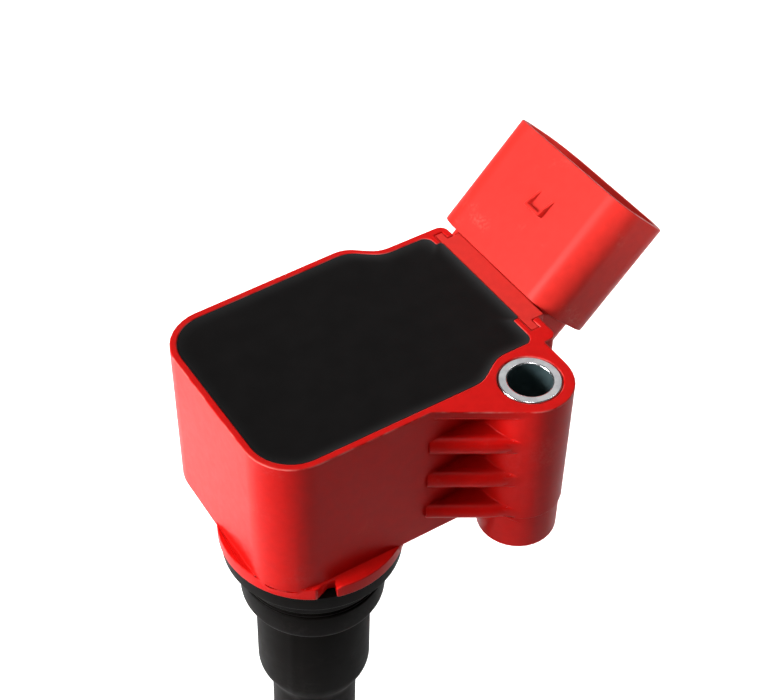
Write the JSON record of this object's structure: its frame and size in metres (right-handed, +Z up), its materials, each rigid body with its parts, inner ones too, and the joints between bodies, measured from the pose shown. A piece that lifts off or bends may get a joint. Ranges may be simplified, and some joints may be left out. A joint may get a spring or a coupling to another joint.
{
  "type": "ignition coil",
  "caption": "Coil-on-plug ignition coil: red potted housing with a bolt ear and slanted connector shroud, over a rubber well seal and a long plug boot with a contact spring inside",
  "frame": {"origin": "on the spark plug axis, in the plane that the mounting boss sits on", "axes": "+Z up along the plug axis, +X from the plug axis towards the connector, the mounting ear on the -Y side"},
  "size_m": [0.0782, 0.0456, 0.1502],
  "materials": {
    "red_nylon": "satin moulded",
    "zinc_plate": "bright zinc",
    "black_resin": "cast resin",
    "core_iron": "stacked laminations",
    "magnet_grey": "plain",
    "bobbin_nylon": "moulded",
    "enamelled_copper": "enamelled wire",
    "heat_sink_aluminium": "rolled",
    "chip_epoxy": "moulded",
    "tinned_brass": "tinned",
    "resistor_ceramic": "glazed",
    "black_rubber": "moulded"
  },
  "bodies": {
    "coil": {"coil_housing": "red_nylon", "connector_housing": "red_nylon", "mount_bush": "zinc_plate", "potting_fill": "black_resin", "core_frame": "core_iron", "core_leg": "core_iron", "core_magnet": "magnet_grey", "primary_bobbin": "bobbin_nylon", "primary_winding": "enamelled_copper", "secondary_bobbin": "bobbin_nylon", "secondary_winding": "enamelled_copper", "igniter_heat_sink": "heat_sink_aluminium", "igniter_module": "chip_epoxy", "hv_terminal": "tinned_brass", "hv_diode": "chip_epoxy", "suppressor_resistor": "resistor_ceramic", "seal_grommet": "black_rubber", "plug_boot": "black_rubber", "terminal_1": "tinned_brass", "terminal_2": "tinned_brass", "terminal_3": "tinned_brass", "terminal_4": "tinned_brass"},
    "spring": {"contact_spring": "zinc_plate"}
  },
  "joints": [
    {"name": "contact_spring_press", "type": "slide", "parent": "coil", "child": "spring", "axis": [0, 0, 1], "range_m": [0, 0.006], "stiffness_N_per_m": 600, "deforming": ["contact_spring"]}
  ]
}
